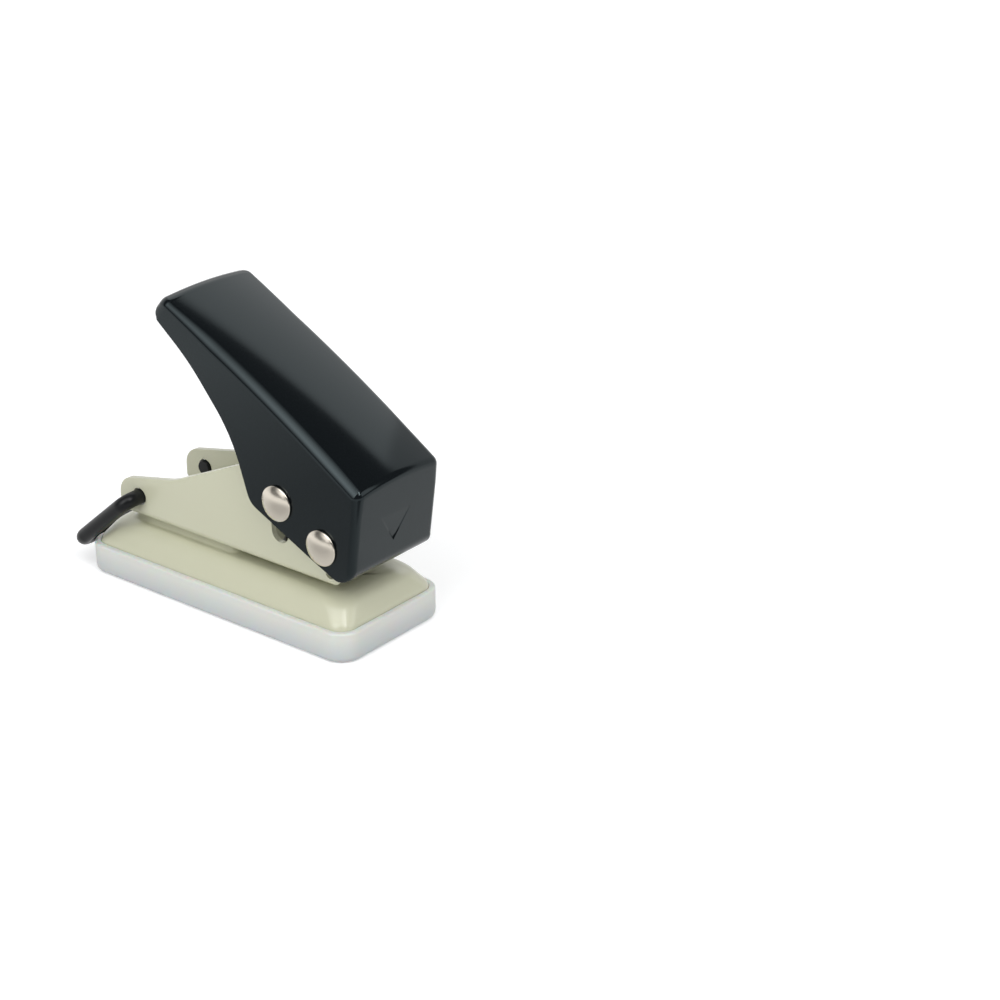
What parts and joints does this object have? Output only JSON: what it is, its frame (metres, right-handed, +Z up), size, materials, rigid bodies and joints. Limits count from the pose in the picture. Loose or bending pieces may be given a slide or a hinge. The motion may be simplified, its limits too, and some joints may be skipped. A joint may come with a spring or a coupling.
{
  "type": "single hole punch",
  "caption": "Desk punch for one hole: black lever hinged on a beige sheet frame over a base and pull-off chip tray, with a wire bail that locks the lever down.",
  "frame": {"origin": "middle of the chip tray's underside, on the desk", "axes": "+X to the front, where the hole is cut; +Y across, to the side with the pin caps; +Z up"},
  "size_m": [0.0987, 0.039, 0.0808],
  "materials": {
    "tray_plastic": "translucent milky white, smooth",
    "beige_paint": "smooth satin paint",
    "die_steel": "hardened and ground",
    "plated_steel": "zinc plated",
    "bush_brass": "turned",
    "spring_steel": "bright drawn wire",
    "black_paint": "smooth gloss enamel",
    "black_wire": "gloss black coating",
    "nickel": "bright nickel",
    "washer_plastic": "plain"
  },
  "bodies": {
    "tray": {"chip_tray": "tray_plastic"},
    "base": {"base_shell": "beige_paint", "die_plate": "die_steel", "die_rivets": "plated_steel", "stop_plate": "beige_paint", "frame_bracket": "beige_paint", "frame_rivets": "plated_steel", "guide_bush": "bush_brass", "pivot_pin": "nickel", "pivot_cap": "nickel", "pivot_spacer": "plated_steel", "pivot_washers": "washer_plastic", "return_spring": "spring_steel"},
    "lever": {"lever_shell": "black_paint", "drive_pin": "nickel", "drive_cap": "nickel"},
    "cutter": {"cutter": "die_steel", "cutter_yoke": "plated_steel", "spring_washer": "plated_steel"},
    "bail": {"lock_bail": "black_wire"}
  },
  "joints": [
    {"name": "base_lift", "type": "slide", "parent": "tray", "child": "base", "axis": [0, 0, 1], "range_m": [0, 0.014]},
    {"name": "lever_pivot", "type": "hinge", "parent": "base", "child": "lever", "pos_m": [0.0353, 0, 0.0281], "axis": [0, -1, 0], "range_deg": [0, 34], "stiffness_Nm_per_rad": 0.4, "springref_deg": -28.65, "deforming": ["return_spring"]},
    {"name": "cutter_slide", "type": "slide", "parent": "base", "child": "cutter", "axis": [0, 0, -1], "range_m": [0, 0.0092]},
    {"name": "bail_swing", "type": "hinge", "parent": "base", "child": "bail", "pos_m": [-0.0301, 0, 0.0225], "axis": [0, 1, 0], "range_deg": [0, 130]}
  ],
  "couplings": [
    {"joint": "cutter_slide", "follows": "lever_pivot", "m_per_rad": 0.015509}
  ]
}
